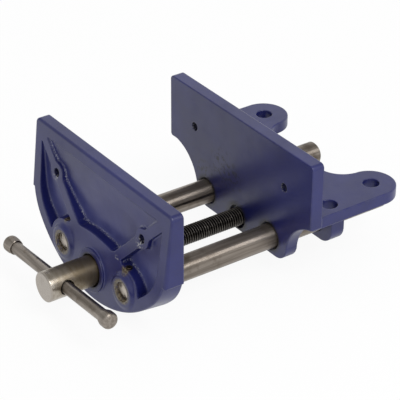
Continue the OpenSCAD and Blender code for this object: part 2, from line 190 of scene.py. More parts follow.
# a skin thinned out where it is flat and shaded with the field's own slope
def castSkin(name, field, low, high, step, share=1.0):
    points, quads = skinField(field, low, high, step)
    piece = plainMesh(name, points, quads.tolist())
    if share < 1:
        thin = piece.modifiers.new("thin", "DECIMATE")
        thin.ratio = share
        view = bpy.context.evaluated_depsgraph_get()
        full = piece.data
        piece.data = bpy.data.meshes.new_from_object(piece.evaluated_get(view), depsgraph=view)
        piece.modifiers.clear()
        bpy.data.meshes.remove(full)
        piece.data.name = name
    mesh = piece.data
    points = readVectors(mesh.vertices, "co")
    owner = np.repeat(np.arange(len(mesh.polygons)), [p.loop_total for p in mesh.polygons])
    corner = np.zeros(len(mesh.loops), int)
    mesh.loops.foreach_get("vertex_index", corner)
    middle = readVectors(mesh.polygons, "center")[owner]
    pull, tiny = 0.14, 1e-6  # each corner's slope is read a little towards the middle of its face
    slope = probe(field, points[corner] * (1 - pull) + middle * pull)[1]
    slope /= np.maximum(np.linalg.norm(slope, axis=1, keepdims=True), tiny)
    mesh.normals_split_custom_set(slope.tolist())
    print(name, len(mesh.polygons), "faces")
    return piece, points


def show(item):
    bpy.context.scene.collection.objects.link(item)


def plainMesh(name, points, faces, smoothAngle=None):
    mesh = bpy.data.meshes.new(name)
    mesh.from_pydata((points * mm).tolist(), [], faces)
    mesh.validate()
    mesh.shade_smooth()
    if smoothAngle:
        mesh.set_sharp_from_angle(angle=math.radians(smoothAngle))
    piece = bpy.data.objects.new(name, mesh)
    show(piece)
    return piece


def addMark(piece, name, values):
    mark = piece.data.attributes.new(name, "FLOAT", "POINT")
    mark.data.foreach_set("value", np.clip(values, 0, 1).astype(np.float32))


def smoothStep(v, low, high):
    t = np.clip((v - low) / (high - low), 0, 1)
    return t * t * (3 - 2 * t)


# a plain value or another node's output, put on a socket
def feed(tree, value, socket):
    if isinstance(value, bpy.types.NodeSocket):
        tree.links.new(value, socket)
    else:
        socket.default_value = value


# materials, each built round one shader
noiseRough = 0.55


class Finish:
    def __init__(self, name, **sockets):
        self.material = bpy.data.materials.new(name)
        self.material.use_nodes = True
        self.tree = self.material.node_tree
        self.tree.nodes.clear()
        self.shader = self.add("ShaderNodeBsdfPrincipled", **sockets)
        self.output = self.add("ShaderNodeOutputMaterial")
        self.wire(self.shader.outputs["BSDF"], self.output.inputs["Surface"])
        self.place = self.add("ShaderNodeTexCoord").outputs["Object"]

    def wire(self, value, socket):
        feed(self.tree, value, socket)

    def set(self, node, **sockets):
        for name, value in sockets.items():
            self.wire(value, node.inputs[name.replace("_", " ")])
        return node

    def add(self, kind, **sockets):
        return self.set(self.tree.nodes.new(kind), **sockets)

    def noise(self, scale, detail, rough=noiseRough, stretch=(1, 1, 1)):
        mapping = self.add("ShaderNodeMapping", Vector=self.place, Scale=stretch)
        return self.add("ShaderNodeTexNoise", Vector=mapping.outputs["Vector"], Scale=scale, Detail=detail,
                        Roughness=rough).outputs["Fac"]

    def patches(self, scale, detail, *reach, rough=noiseRough):  # noise, spread over a range
        return self.span(self.noise(scale, detail, rough), *reach)

    def mark(self, name):
        node = self.add("ShaderNodeAttribute")
        node.attribute_name = name
        return node.outputs["Fac"]

    def math(self, operation, a, b, clamp=False):
        node = self.add("ShaderNodeMath")
        node.operation = operation
        node.use_clamp = clamp
        for socket, value in zip(node.inputs, (a, b)):
            self.wire(value, socket)
        return node.outputs[0]

    def times(self, a, b, clamp=False):
        return self.math("MULTIPLY", a, b, clamp)

    def span(self, value, low, high, outLow=0.0, outHigh=1.0):
        node = self.add("ShaderNodeMapRange", Value=value, From_Min=low, From_Max=high, To_Min=outLow,
                        To_Max=outHigh)
        node.interpolation_type = "SMOOTHSTEP"
        return node.outputs["Result"]

    def blend(self, share, a, b):
        node = self.add("ShaderNodeMix")
        node.data_type = "RGBA"
        for index, value in ((0, share), (6, a), (7, b)):  # the sockets of a mix of colours
            self.wire((*value, 1) if isinstance(value, tuple) else value, node.inputs[index])
        return node.outputs[2]

    def relief(self, height, strength, depth, base=None):
        node = self.add("ShaderNodeBump", Height=height, Strength=strength, Distance=depth * mm)
        if base:
            self.wire(base, node.inputs["Normal"])
        return node.outputs["Normal"]


def makeEnamel():
    look = {
        "deep": (0.0085, 0.0105, 0.080), "pale": (0.0135, 0.0165, 0.112), "worn": (0.095, 0.098, 0.125),
        "speckle": (0.004, 0.005, 0.03), "paintedFill": (0.092, 0.099, 0.25), "grimeAndShade": (0.010, 0.009, 0.009),
        "paintedGlint": (0.27, 0.275, 0.34), "bare": (0.17, 0.138, 0.088), "rust": (0.05, 0.033, 0.016),
        "chip": (0.33, 0.33, 0.34), "roughness": (0.30, 0.46),
        "glossNoise": (90, 4), "glossReach": (0.35, 0.95), "soilAndShadeRough": 0.4, "wornShare": 0.16,
        "grain": (420, 3), "grainRelief": (0.10, 0.25), "fine": (1500, 2), "fineRelief": (0.06, 0.10),
        "shine": (0.5, 0.14), "speckles": (330, 5, 0.5, 0.6), "speckleRough": 0.7,
    }
    # scale and detail of the noise, the range that shows, and what it gives
    patches = {
        "cloud": (28, 4, 0.3, 0.7), "rubbed": (160, 4, 0.35, 0.62), "paintedFill": (130, 4, 0.3, 0.7, 0.65, 1.0),
        "glint": (1100, 3, 0.46, 0.64), "glintArea": (70, 3, 0.38, 0.62, 0.15, 1.0),
        "grimeAndShade": (240, 4, 0.22, 0.6, 0.35, 1.0), "bare": (500, 4, 0.3, 0.5, 0.3, 1.0),
        "rust": (900, 3, 0.4, 0.6), "chip": (700, 2, 0.5, 0.6),
    }
    f = Finish("blueEnamel", IOR=1.5)
    spread = {name: f.patches(*values) for name, values in patches.items()}
    tint = f.blend(spread["cloud"], look["deep"], look["pale"])
    rubbed = f.times(f.mark("edgeWear"), spread["rubbed"])
    tint = f.blend(f.times(rubbed, look["wornShare"]), tint, look["worn"])
    # painted fill light: floors close to walls, deep in the pockets and round the head are painted a paler blue
    # in place of light
    tint = f.blend(f.times(f.mark("paintedFill"), spread["paintedFill"]), tint, look["paintedFill"])
    speckle = f.times(f.mark("speckle"), f.patches(*look["speckles"], rough=look["speckleRough"]))
    tint = f.blend(speckle, tint, look["speckle"])
    # painted highlight: pale glints along the feet of the pocket walls
    glint = f.times(spread["glint"], spread["glintArea"])
    tint = f.blend(f.times(f.mark("paintedGlint"), glint), tint, look["paintedGlint"])
    # dark rings round the holes: grease, and painted shade where parts meet the casting
    grimeAndShadeShare = f.times(f.mark("grimeAndShade"), spread["grimeAndShade"], True)
    tint = f.blend(grimeAndShadeShare, tint, look["grimeAndShade"])
    bare = f.times(f.mark("bare"), spread["bare"])
    tint = f.blend(bare, tint, f.blend(spread["rust"], look["rust"], look["bare"]))
    tint = f.blend(f.times(f.mark("chips"), spread["chip"]), tint, look["chip"])
    soilAndShade = f.times(f.math("MAXIMUM", grimeAndShadeShare, speckle), look["soilAndShadeRough"])
    gloss = f.span(f.math("ADD", f.noise(*look["glossNoise"]), soilAndShade), *look["glossReach"], *look["roughness"])
    skin = f.relief(f.noise(*look["grain"]), *look["grainRelief"])
    skin = f.relief(f.noise(*look["fine"]), *look["fineRelief"], skin)
    # steep pocket walls get less sheen, painted shade that darkens them
    shine = f.span(f.mark("wall"), 0, 1, *look["shine"])
    f.set(f.shader, Base_Color=tint, Roughness=gloss, Normal=skin, Specular_IOR_Level=shine)
    return f.material


def makeSteel(name, look):
    streakReach, roughReach, stainRough, reliefDepth = (0.3, 0.7), (0.3, 1.1), 0.5, 0.03
    streakNoise, fineNoise, stainDetail, stainNoise = (4, 0.6), (3, 0.6), 5, 0.62
    f = Finish(name, Metallic=1.0)
    along = look["grain"]
    if look.get("brushed"):  # the finish spreads light along the piece
        spread = f.add("ShaderNodeTangent")
        spread.direction_type = "UV_MAP"
        spread.uv_map = "along"
        f.set(f.shader, Anisotropic=look["brushed"], Tangent=spread.outputs["Tangent"])
    streak = f.noise(look["streakScale"], *streakNoise, along)
    fine = f.noise(look["fineScale"], *fineNoise, along)
    tint = f.blend(f.span(streak, *streakReach), look["dark"], look["bright"])
    brown = f.patches(look["stainScale"], stainDetail, *look["stainReach"], rough=stainNoise)
    if look.get("stainMark"):
        brown = f.math("ADD", brown, f.mark(look["stainMark"]), True)
    tint = f.blend(f.times(brown, look["stainShare"]), tint, look["stain"])
    if look.get("polished"):
        tint = f.blend(f.mark("polish"), tint, look["polished"])
    rough = f.span(f.math("ADD", fine, f.times(brown, stainRough)), *roughReach, *look["roughness"])
    skin = f.relief(fine, look["relief"], reliefDepth)
    f.set(f.shader, Base_Color=tint, Roughness=rough, Normal=skin)
    return f.material


def makeThreadSteel():
    look = {
        "root": (0.010, 0.009, 0.008), "crest": (0.16, 0.145, 0.13), "metal": 0.9, "crestReach": (0.55, 1.0),
        "rubbed": (300, 3, 0.3, 0.7, 0.4, 1.0), "roughness": (500, 3, 0.3, 0.7, 0.26, 0.45),
    }
    f = Finish("blackThread", Metallic=look["metal"])
    worn = f.times(f.span(f.mark("crest"), *look["crestReach"]), f.patches(*look["rubbed"]))
    tint = f.blend(worn, look["root"], look["crest"])
    f.set(f.shader, Base_Color=tint, Roughness=f.patches(*look["roughness"]))
    return f.material


alongRods = (1, 0.04, 1)
alongBar = (0.06, 1, 1)
enamel = makeEnamel()
rodSteel = makeSteel("groundSteel", {
    "dark": (0.155, 0.130, 0.108), "bright": (0.29, 0.255, 0.222), "stain": (0.085, 0.062, 0.04),
    "grain": alongRods, "streakScale": 420, "fineScale": 1400, "stainScale": 60, "stainReach": (0.48, 0.7),
    "stainShare": 0.55, "roughness": (0.34, 0.44), "relief": 0.10, "brushed": 0.93,
    "polished": (0.56, 0.51, 0.45)})
barSteel = makeSteel("turnedSteel", {
    "dark": (0.18, 0.155, 0.13), "bright": (0.345, 0.308, 0.272), "stain": (0.10, 0.07, 0.043),
    "grain": alongBar, "streakScale": 300, "fineScale": 1300, "stainScale": 120, "stainReach": (0.55, 0.72),
    "stainShare": 0.5, "roughness": (0.34, 0.46), "relief": 0.12, "brushed": 0.85})
headSteel = makeSteel("brownedSteel", {
    "dark": (0.27, 0.235, 0.188), "bright": (0.43, 0.39, 0.335), "stain": (0.135, 0.098, 0.048),
    "grain": (0.4, 1, 0.4), "streakScale": 260, "fineScale": 900, "stainScale": 130, "stainReach": (0.52, 0.68),
    "stainShare": 0.75, "stainMark": "browning", "polished": (0.38, 0.345, 0.305), "roughness": (0.24, 0.4),
    "relief": 0.08})
pinSteel = makeSteel("darkSteel", {
    "dark": (0.09, 0.068, 0.045), "bright": (0.17, 0.13, 0.09), "stain": (0.06, 0.035, 0.018),
    "grain": (1, 1, 1), "streakScale": 260, "fineScale": 1200, "stainScale": 200, "stainReach": (0.45, 0.65),
    "stainShare": 0.6, "roughness": (0.35, 0.6), "relief": 0.12})
nutBronze = makeSteel("turnedBronze", {
    "dark": (0.38, 0.25, 0.10), "bright": (0.60, 0.42, 0.19), "stain": (0.15, 0.09, 0.03),
    "grain": (1, 1, 1), "streakScale": 180, "fineScale": 1000, "stainScale": 110, "stainReach": (0.5, 0.7),
    "stainShare": 0.6, "roughness": (0.28, 0.5), "relief": 0.10})
threadSteel = makeThreadSteel()
print("finishes made")


def finishPiece(piece, body, material, slot, *nodes):
    piece.data.materials.clear()
    piece.data.materials.append(material)
    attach(piece, body)
    if nodes:
        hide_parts(*nodes)


# front jaw casting, measured from its clamping face and top edge
frontJaw = {
    "corner": 3.5, "earCorner": 1.0, "topThickness": 8.5, "lean": math.radians(6.5), "web": 8.2,
    "earDepth": 47.5, "bellyInset": 0.2, "bellyWideDrop": 37.5, "bellyDrop": 91.6, "bellySideRadius": 38.8,
    "bellyDraft": math.radians(4.5), "bellyLead": 1.5, "rim": 7.5, "pocketDrop": 8.0, "ribWidth": 6.8,
    "ribAngle": math.radians(44.5), "cheekPad": 6.5, "bossRadius": 14.8, "archDrop": 47.5, "archRadius": 97.0,
    "padRadius": 10.5, "padOut": 17.56, "lipRadius": 13.95, "lipProud": 1.9, "headBore": 10.35,
    "seatOut": 15.4, "hollow": 0.045, "hollowDrop": 20, "hollowReach": (24, 44), "journalBore": 7.06,
    "recessRadius": 12.5, "recessDepth": 6.0, "rodClear": 0.02, "rodHole": 5.8, "rodRim": 0.5,
    "pinClear": 0.05, "pinAbove": 1.5, "frontEdge": 1.2, "topEdge": 1.6, "endEdge": 2.4, "backEdge": 0.8,
    "pocketEdge": 0.4, "padEdge": 1.2, "lipEdge": 0.6, "headEdge": 0.7, "recessEdge": 0.4, "cheekEdge": 0.5,
    "holeEdge": 0.3, "panelCorner": 3.0, "pocketCorner": 1.4, "pocketFillet": 1.4, "cheekFillet": 2.0,
    "ribFillet": 2.5, "padFillet": 2.4, "lipFillet": 0.7, "draft": 0.03, "margin": 2.0, "step": 0.48,
    "share": 0.55,
}


def bellyField(u, w, inset):
    d = frontJaw
    halfWidth = jawHalf - d["bellyInset"]
    height = d["bellyDrop"] - d["bellyWideDrop"]
    side = d["bellySideRadius"]
    sideX = halfWidth - side
    low = (halfWidth ** 2 + height ** 2 - 2 * halfWidth * side) / (2 * (height - side))
    lowZ = low - d["bellyDrop"]
    reach = sideX / math.sqrt((low - side) ** 2 - sideX ** 2)
    underneath = u < (lowZ - w) * reach
    return np.where(underneath, disc(u, w, 0, lowZ, low - inset),
                    disc(u, w, sideX, -d["bellyWideDrop"], side - inset))


def frontField(x, y, z):
    d = frontJaw
    u, v, w = np.abs(x), y - frontFace, z - jawTop
    rodW, screwW = rodZ - jawTop, screwZ - jawTop
    cheekX, cheekW = cheekHoles["x"], -cheekHoles["drop"]
    plate = jawPlate(u, w, d["earDepth"], d["corner"], d["earCorner"])
    belly = bellyField(u, w, -v * math.tan(d["bellyDraft"]))
    outline = np.minimum(plate, np.maximum(belly, w + d["earDepth"] / 2))
    front = (w * math.tan(d["lean"]) - v - d["topThickness"]) * math.cos(d["lean"])
    casting = meet(meet(outline, front, d["frontEdge"]), v, d["backEdge"])
    endRound = d["frontEdge"] + (d["endEdge"] - d["frontEdge"]) * np.clip(-w / d["earDepth"], 0, 1)
    softer = np.maximum(meet(w, front, d["topEdge"]), meet(u - jawHalf, front, endRound))
    casting = np.maximum(casting, softer)

    slope = (d["bellyInset"] + d["bellyLead"]) / d["bellyWideDrop"]
    side = (u - jawHalf + d["rim"] - w * slope) / math.hypot(1, slope)
    panel = np.where(w > -d["bellyWideDrop"], side, bellyField(u, w, d["rim"] + d["bellyLead"]))
    panel = meet(panel, w + d["pocketDrop"], d["panelCorner"])
    archZ = -d["archDrop"] - d["archRadius"]
    boss = np.minimum(disc(u, w, rodX, rodW, d["bossRadius"]),
                      np.maximum(disc(u, w, 0, archZ, d["archRadius"]), u - rodX))
    across = (w - cheekW) * math.cos(d["ribAngle"]) - (u - cheekX) * math.sin(d["ribAngle"])
    cheekPad = disc(u, w, cheekX, cheekW, d["cheekPad"])
    rib = join(np.abs(across) - d["ribWidth"] / 2, cheekPad, d["cheekFillet"])
    pocket = meet(panel, -join(boss, rib, d["ribFillet"]), d["pocketCorner"])
    sag = np.minimum(w + d["hollowDrop"], 0) * d["hollow"] * (1 - smoothStep(u, *d["hollowReach"]))
    pocket = meet(pocket - d["draft"] * front, v + (d["web"] + sag), d["pocketFillet"])
    casting = cut(casting, pocket, d["pocketEdge"])

    forward = v + d["web"]
    pad = meet(disc(u, w, rodX, rodW, d["padRadius"]), -d["padOut"] - v, d["padEdge"])
    casting = join(casting, np.maximum(pad, forward), d["padFillet"])
    lip = meet(disc(u, w, 0, screwW, d["lipRadius"]), front - d["lipProud"], d["lipEdge"])
    casting = join(casting, np.maximum(lip, forward), d["lipFillet"])

    headBore = np.maximum(disc(u, w, 0, screwW, d["headBore"]), v + d["seatOut"])
    casting = cut(casting, headBore, d["headEdge"])
    casting = cut(casting, disc(u, w, 0, screwW, d["journalBore"]), d["holeEdge"])
    recess = np.maximum(disc(u, w, 0, screwW, d["recessRadius"]), -d["recessDepth"] - v)
    casting = cut(casting, recess, d["recessEdge"])
    rodBore = np.maximum(disc(u, w, rodX, rodW, rodRadius + d["rodClear"]), rodLow[1] - frontFace - v)
    casting = cut(casting, rodBore, d["holeEdge"])
    rim = np.clip(d["rodRim"] - d["padOut"] - v, 0, 1)
    casting = cut(casting, disc(u, w, rodX, rodW, d["rodHole"]) - rim, d["holeEdge"])
    casting = cut(casting, disc(u, w, cheekX, cheekW, cheekHoles["radius"]), d["cheekEdge"])
    pinY = (pinLow[1] + pinHigh[1]) / 2 - frontFace
    pinRadius = (pinHigh[1] - pinLow[1]) / 2 + d["pinClear"]
    pinTop = pinHigh[2] - jawTop + d["pinAbove"]
    pinHole = np.maximum(disc(u, v, rodX, pinY, pinRadius), slab(w, rodW, pinTop))
    return cut(casting, pinHole, d["holeEdge"])


# wear, grime, painted fill light, painted shade and painted glints of the castings: the ranges over which each
# mark fades in
castingWearAndPaintedLight = {
    "reach": 12, "shut": (0.05, 0.75), "floor": (0.7, 0.92), "wall": (0.35, 0.75), "edge": (0.3, 1.1),
    "corner": (0.2, 0.6), "upward": (-0.1, 0.25), "ends": (57, 63), "endsLess": 0.85, "heart": 0.3,
    "cheekRing": (2.6, 3.1),
}


def nearSpots(points, spots):
    near = np.zeros(len(points))
    for *spot, inner, outer in spots:
        away = np.linalg.norm(points - np.array(spot), axis=1)
        near = np.maximum(near, 1 - smoothStep(away, inner, outer))
    return near


def markCasting(piece, field, points, rings, chips, bare=(), speckles=(), sunk=0.0, deep=0.0, headFill=0.0):
    d = castingWearAndPaintedLight
    outward = bend(field, points)
    facing = probe(field, points)[1]
    facingY, upward = np.abs(facing[:, 1]), facing[:, 2]
    shut = 1 - field(*(points + d["reach"] * facing).T) / d["reach"]  # how close the walls round a point stand
    # painted fill light: floors hemmed in by walls, deep pockets and the face round the head are marked to be
    # painted paler
    paintedFill = np.maximum(smoothStep(shut, *d["shut"]), deep)
    addMark(piece, "paintedFill", np.maximum(paintedFill * smoothStep(facingY, *d["floor"]) * sunk, headFill))
    # steep walls in the pockets, marked for less sheen as painted shade
    addMark(piece, "wall", (1 - smoothStep(facingY, *d["wall"])) * sunk)
    addMark(piece, "edgeWear", smoothStep(outward, *d["edge"]))
    middle = 1 - d["endsLess"] * smoothStep(np.abs(points[:, 0]), *d["ends"])
    # painted highlight: concave fillets that face up are marked for pale glints
    paintedGlint = smoothStep(-outward, *d["corner"]) * smoothStep(upward, *d["upward"])
    addMark(piece, "paintedGlint", paintedGlint * middle * sunk)
    # rings round holes: grease plus painted shade where parts meet
    grimeAndShade = np.zeros(len(points))
    for x, z, inner, outer, faceLow, faceHigh in rings:
        away = np.hypot(np.abs(points[:, 0]) - x, points[:, 2] - z)
        near = (points[:, 1] > faceLow) & (points[:, 1] < faceHigh)
        grimeAndShade = np.maximum(grimeAndShade, np.where(near, 1 - smoothStep(away, inner, outer), 0))
    addMark(piece, "grimeAndShade", grimeAndShade)
    addMark(piece, "bare", nearSpots(points, bare))
    for name, spots in (("chips", chips), ("speckle", speckles)):
        addMark(piece, name, nearSpots(points, [(x, y, z, r * d["heart"], r) for x, y, z, r in spots]))


# marks of the front jaw: chips from the clamping face and top edge, bare metal from the ends of the pins, a ring
# of grime and painted shade round the head, and painted fill light in the pockets
frontMarks = {
    "headRing": (10.2, 12.6), "headRingDepth": 12, "pastFace": 1, "padBare": (7.4, 8.8),
    "chips": [(45.9, -11.8, -29.9, 4.6), (-48.2, -11.9, -30.1, 3.6), (24.4, -14.3, -50.5, 2.4)],
    "pinBare": [(1, -1.0, -1.0, 2.0, 4.4), (-1, 1.0, 0.0, 1.6, 3.2)],
    "sunkBehind": (0.8, 1.4), "sunkInside": (3, 4.5), "backDepth": 3, "deepBehind": (2.6, 6.0),
    "deepShare": 0.5, "headFillReach": (20, 36), "headFillDepth": 0.6, "headFillShare": 0.3,
}


def makeFrontJaw():
    d, m = frontJaw, frontMarks
    piece, points = castSkin("frontJawCasting", frontField, frontLow - d["margin"], frontHigh + d["margin"],
                             d["step"], d["share"])
    x, y, z = points.T
    u, w = np.abs(x), z - jawTop
    rings = [(0.0, screwZ, *m["headRing"], frontLow[1] - m["pastFace"], frontFace - m["headRingDepth"]),
             (cheekHoles["x"], jawTop - cheekHoles["drop"], *castingWearAndPaintedLight["cheekRing"], frontLow[1],
              frontFace + m["pastFace"])]
    chips = [(atX, frontFace + atY, jawTop + atZ, reach) for atX, atY, atZ, reach in m["chips"]]
    bare = [(s * rodX, frontFace - d["padOut"], rodZ, *m["padBare"]) for s in (-1, 1)]
    bare += [(s * rodX, pinLow[1] + atY, pinHigh[2] + atZ, *reach) for s, atY, atZ, *reach in m["pinBare"]]
    behind = y - frontFace + d["topThickness"] - w * math.tan(d["lean"])  # depth behind the leaning front
    inside = -np.minimum(rect(u, w, -jawHalf, jawHalf, -d["earDepth"], 0), bellyField(u, w, 0))
    sunk = smoothStep(behind, *m["sunkBehind"]) * smoothStep(inside, *m["sunkInside"])
    sunk = sunk * (y < frontFace - m["backDepth"])
    # painted fill light deeper in the pockets and on the face round the head
    deep = m["deepShare"] * smoothStep(behind, *m["deepBehind"])
    aroundHead = 1 - smoothStep(np.hypot(x, z - screwZ), *m["headFillReach"])
    headFill = m["headFillShare"] * aroundHead * (np.abs(behind) < m["headFillDepth"])
    markCasting(piece, frontField, points, rings, chips, bare, sunk=sunk, deep=deep, headFill=headFill)
    finishPiece(piece, "front_jaw", enamel, "enamel", "front_jaw")


# rear jaw casting with its bench seat, measured from its clamping face and top edge
rearJaw = {
    "topCorner": 3.0, "corner": 1.8, "thickness": 9.0, "earDepth": 44.5, "hollow": 29.0, "hollowLead": 0.5,
    "shoulderTop": 2, "sideWall": 6.3, "shift": 3.5, "underWall": 4.0, "lowerCorner": 11.0, "screwHole": 7.75,
    "seat": 8.0, "seatBack": 48.5, "wall": 10.5, "wallIn": 2.0, "lug": 16.0, "notchCorner": 17.0,
    "frontBolts": (61.5, 25.0), "rearBolts": (56.0, 63.0), "boltHole": 5.25, "nutWall": 6.0, "lockHole": 2.5,
    "boreClear": 0.1, "mouth": 1.4, "mouthMost": 1.7, "edge": 0.7, "lugEdge": 0.9, "boreEdge": 0.4,
    "holeEdge": 0.6, "lockEdge": 0.3, "fillet": 3.0, "past": 4, "far": 100, "margin": 2.4, "step": 0.6,
    "share": 0.5,
}


def rearField(x, y, z):
    d = rearJaw
    u, v, w = np.abs(x), y - rearFace, z - jawTop
    rodW, screwW, seatW = rodZ - jawTop, screwZ - jawTop, seatTop - jawTop
    side = np.abs(x - d["shift"])
    lowerHalf = rodX + rodRadius + d["sideWall"]
    lowerDrop = rodRadius + d["underWall"] - rodW
    block = rect(side, w, -lowerHalf, lowerHalf, -lowerDrop, d["corner"] - d["earDepth"], d["lowerCorner"])
    cornerZ, hollowZ = d["lowerCorner"] - lowerDrop, d["hollowLead"] - d["earDepth"] - d["hollow"]
    hollowX = lowerHalf + math.sqrt(d["hollow"] ** 2 - (hollowZ - cornerZ) ** 2)
    shoulder = np.maximum(rect(side, w, -hollowX, hollowX, cornerZ, d["shoulderTop"] - d["earDepth"]),
                          -disc(side, w, hollowX, hollowZ, d["hollow"]))
    shoulder = np.maximum(shoulder, u - jawHalf)
    plate = jawPlate(u, w, d["earDepth"], d["topCorner"], d["corner"])
    outline = np.minimum(np.minimum(plate, shoulder), block)
    casting = meet(outline, slab(v, 0, d["thickness"]), d["edge"])

    boltX, boltY = d["rearBolts"]
    notchHalf = boltX - d["lug"]
    inner, notchY, far = notchHalf - d["notchCorner"], d["seatBack"] + d["notchCorner"], boltY + d["far"]
    seat = np.minimum(rect(u, v, -boltX - d["lug"], boltX + d["lug"], d["thickness"] / 2, boltY),
                      disc(u, v, boltX, boltY, d["lug"]))
    notch = np.minimum(rect(u, v, -inner, inner, d["seatBack"], far),
                       rect(u, v, -notchHalf, notchHalf, notchY, far))
    notch = np.minimum(notch, disc(u, v, inner, notchY, d["notchCorner"]))
    seat = meet(np.maximum(seat, -notch), slab(w, seatW - d["seat"], seatW), d["lugEdge"])
    casting = join(casting, seat, d["fillet"])

    wallBack = d["seatBack"] - d["wallIn"]
    wallFront = wallBack - d["wall"]
    wall = rect(side, w, -lowerHalf, lowerHalf, -lowerDrop, seatW + d["lowerCorner"], d["lowerCorner"])
    wall = np.maximum(wall, w - seatW + d["seat"] / 2)
    wall = join(wall, disc(u, w, 0, screwW, nutRadius + d["nutWall"]), d["fillet"])
    wall = meet(wall, slab(v, wallFront, wallBack), d["edge"])
    casting = join(casting, wall, d["fillet"])

    mouth = np.clip(d["mouth"] - v, 0, d["mouthMost"])
    behindPlate = v - d["thickness"] - d["past"]
    casting = cut(casting, disc(u, w, rodX, rodW, rodRadius + d["boreClear"]) - mouth, d["boreEdge"])
    hole = np.maximum(disc(u, w, 0, screwW, d["screwHole"]), behindPlate)
    casting = cut(casting, hole, d["holeEdge"])
    bore = np.maximum(disc(u, w, 0, screwW, nutRadius), wallFront - d["past"] - v)
    casting = cut(casting, bore, d["boreEdge"])
    cheek = np.maximum(disc(u, w, cheekHoles["x"], -cheekHoles["drop"], cheekHoles["radius"]), behindPlate)
    casting = cut(casting, cheek, d["holeEdge"])
    for boltX, boltY in (d["frontBolts"], d["rearBolts"]):
        casting = cut(casting, disc(u, v, boltX, boltY, d["boltHole"]), d["holeEdge"])
    lockHole = np.maximum(disc(u, v, 0, wallFront + d["wall"] / 2, d["lockHole"]), w - screwW)
    return cut(casting, lockHole, d["lockEdge"])


# marks of the rear jaw: rings of grime and painted shade round the holes with their depths behind the face, and
# dark speckles on it
rearMarks = {
    "rodRing": (0.8, 5.0), "screwRing": (8.0, 13.0), "frontDepth": (-1, 3), "wallRing": (0.4, 3.0),
    "wallDepth": (44, 50), "cheekDepth": (-1, 10), "chipReach": 4.0,
    "speckles": [(-17, -1, 17), (-6, -5, 15), (-36, -15, 13)],
}


def makeRearJaw():
    d, m = rearJaw, rearMarks
    piece, points = castSkin("rearJawCasting", rearField, rearLow - d["margin"], rearHigh + d["margin"],
                             d["step"], d["share"])
    cheekZ = jawTop - cheekHoles["drop"]
    places = [(rodX, rodZ, rodRadius, m["rodRing"], m["frontDepth"]),
              (0.0, screwZ, 0.0, m["screwRing"], m["frontDepth"]),
              (rodX, rodZ, rodRadius, m["wallRing"], m["wallDepth"]),
              (cheekHoles["x"], cheekZ, 0.0, castingWearAndPaintedLight["cheekRing"], m["cheekDepth"])]
    rings = [(x, z, *(hole + r for r in ring), *(rearFace + v for v in depth))
             for x, z, hole, ring, depth in places]
    chips = [(s * cheekHoles["x"], rearFace, cheekZ, m["chipReach"]) for s in (-1, 1)]
    speckles = [(x, rearFace, z, reach) for x, z, reach in m["speckles"]]
    markCasting(piece, rearField, points, rings, chips, speckles=speckles)
    finishPiece(piece, "bench_body", enamel, "enamel", "rear_jaw")


makeFrontJaw()
makeRearJaw()


# turned pieces: a profile of (place along the axis, radius) spun round it
def arc(atY, atR, radius, start, end, count):
    angles = np.radians(np.linspace(start, end, count))
    return [(atY + radius * math.cos(a), atR + radius * math.sin(a)) for a in angles]


def turnProfile(name, profile, matrix, segments=96, smoothAngle=38):
    onAxis, uvLength = 1e-6, 100
    rings, faces, points = [], [], []
    angles = np.linspace(0, 2 * math.pi, segments, endpoint=False)
    for along, radius in profile:
        if radius < onAxis:
            rings.append([len(points)])
            points.append((0, along, 0))
        else:
            rings.append(list(range(len(points), len(points) + segments)))
            points += [(radius * math.cos(a), along, radius * math.sin(a)) for a in angles]
    closed = profile[0][1] > onAxis
    pairs = list(zip(rings[:-1], rings[1:])) + ([(rings[-1], rings[0])] if closed else [])
    for a, b in pairs:
        for i in range(segments):
            j = (i + 1) % segments
            corners = [a[i % len(a)], b[i % len(b)], b[j % len(b)], a[j % len(a)]]
            faces.append(list(dict.fromkeys(corners)))
    spot = np.array(points) @ np.array(matrix.to_3x3()).T + np.array(matrix.translation)
    back = matrix.inverted()
    piece = plainMesh(name, spot, faces, smoothAngle)
    shell = bmesh.new()
    shell.from_mesh(piece.data)
    bmesh.ops.recalc_face_normals(shell, faces=shell.faces)
    sheet = shell.loops.layers.uv.new("along")
    for face in shell.faces:
        for loop in face.loops:
            x, y, z = back @ (loop.vert.co / mm)
            turn = math.atan2(z, x) / (2 * math.pi)
            loop[sheet].uv = (y / uvLength, turn)
        values = [loop[sheet].uv[1] for loop in face.loops]
        if max(values) - min(values) > 0.5:  # a face across the seam
            for loop in face.loops:
                loop[sheet].uv[1] += 1.0 if loop[sheet].uv[1] < 0 else 0.0
    shell.to_mesh(piece.data)
    shell.free()
    return piece


def alongY(x, z):
    return Matrix.Translation((x, 0, z))


# guide rods, their ends eased by steps of (place along the rod, radius)
guideRod = {"chamfer": 1.4, "ease": 0.25, "easeIn": 0.3, "easeOut": 0.2, "endSkin": 0.05}


def makeRod(name, x, node):
    d = guideRod
    start, end, c, e = rodLow[1], rodHigh[1], d["chamfer"], d["ease"]
    steps = [(0, rodRadius - c - e), (e * d["easeIn"], rodRadius - c), (c, rodRadius - e * d["easeOut"]),
             (c + e, rodRadius)]
    profile = [(start, 0)] + [(start + along, radius) for along, radius in steps]
    profile += [(end - along, radius) for along, radius in reversed(steps)] + [(end, 0)]
    piece = turnProfile(name, profile, alongY(x, rodZ))
    addMark(piece, "polish", [1.0 if v.co.y / mm < start + d["endSkin"] else 0.0 for v in piece.data.vertices])
    finishPiece(piece, "front_jaw", rodSteel, "rod_steel", node)


makeRod("leftRod", -rodX, "left_guide_rod")
makeRod("rightRod", rodX, "right_guide_rod")

